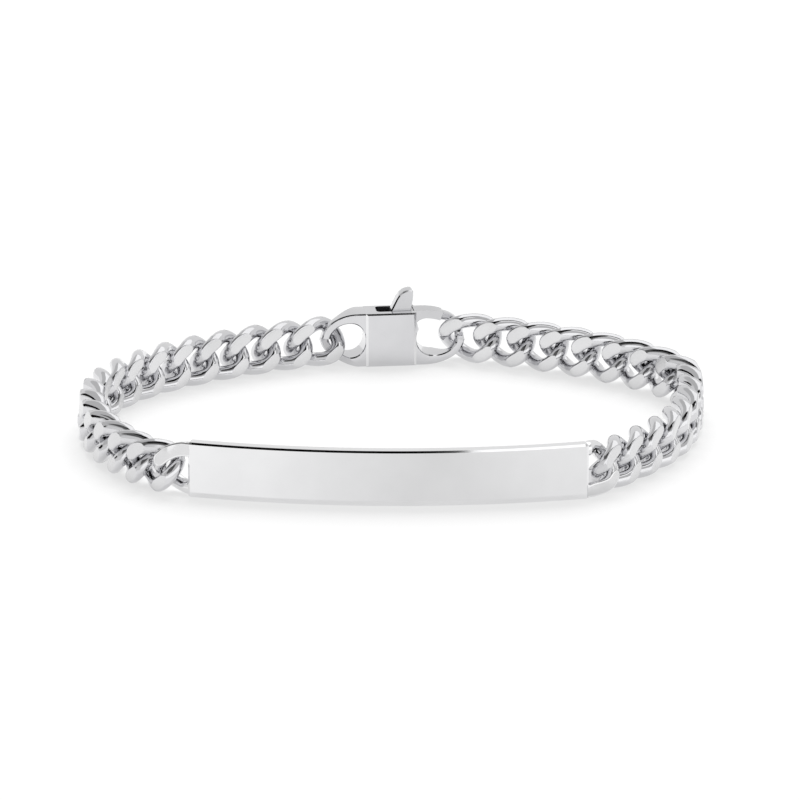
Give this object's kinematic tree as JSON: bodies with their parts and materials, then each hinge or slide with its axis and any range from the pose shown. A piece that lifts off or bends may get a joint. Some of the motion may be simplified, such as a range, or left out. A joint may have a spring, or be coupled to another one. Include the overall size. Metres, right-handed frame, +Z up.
{
  "type": "id bracelet",
  "caption": "Curb link identity bracelet with a plain curved name plate and a box clasp with a sprung gate, fastened and standing on its lower edge.",
  "frame": {"origin": "middle of the loop's bounding box, on the floor it stands on", "axes": "+Z up, -Y towards the name plate, +Y towards the clasp, +X to the right seen from the plate"},
  "size_m": [0.0687, 0.0568, 0.0086],
  "materials": {
    "silver": "polished",
    "pin_steel": "satin"
  },
  "bodies": {
    "bracelet": {"id_plate": "silver", "clasp_body": "silver", "clasp_pin": "pin_steel", "link_l01": "silver", "link_l02": "silver", "link_l03": "silver", "link_l04": "silver", "link_l05": "silver", "link_l06": "silver", "link_l07": "silver", "link_l08": "silver", "link_l09": "silver", "link_l10": "silver", "link_l11": "silver", "link_l12": "silver", "link_l13": "silver", "link_l14": "silver", "link_l15": "silver", "link_l16": "silver", "link_r01": "silver", "link_r02": "silver", "link_r03": "silver", "link_r04": "silver", "link_r05": "silver", "link_r06": "silver", "link_r07": "silver", "link_r08": "silver", "link_r09": "silver", "link_r10": "silver", "link_r11": "silver", "link_r12": "silver", "link_r13": "silver", "link_r14": "silver", "link_r15": "silver", "link_r16": "silver"},
    "lever": {"clasp_lever": "silver"}
  },
  "joints": [
    {"name": "lever_hinge", "type": "hinge", "parent": "bracelet", "child": "lever", "pos_m": [0.00007, 0.02596, 0.0031], "axis": [0.1305, -0.9914, 0], "range_deg": [0, 17], "stiffness_Nm_per_rad": 0.002}
  ]
}
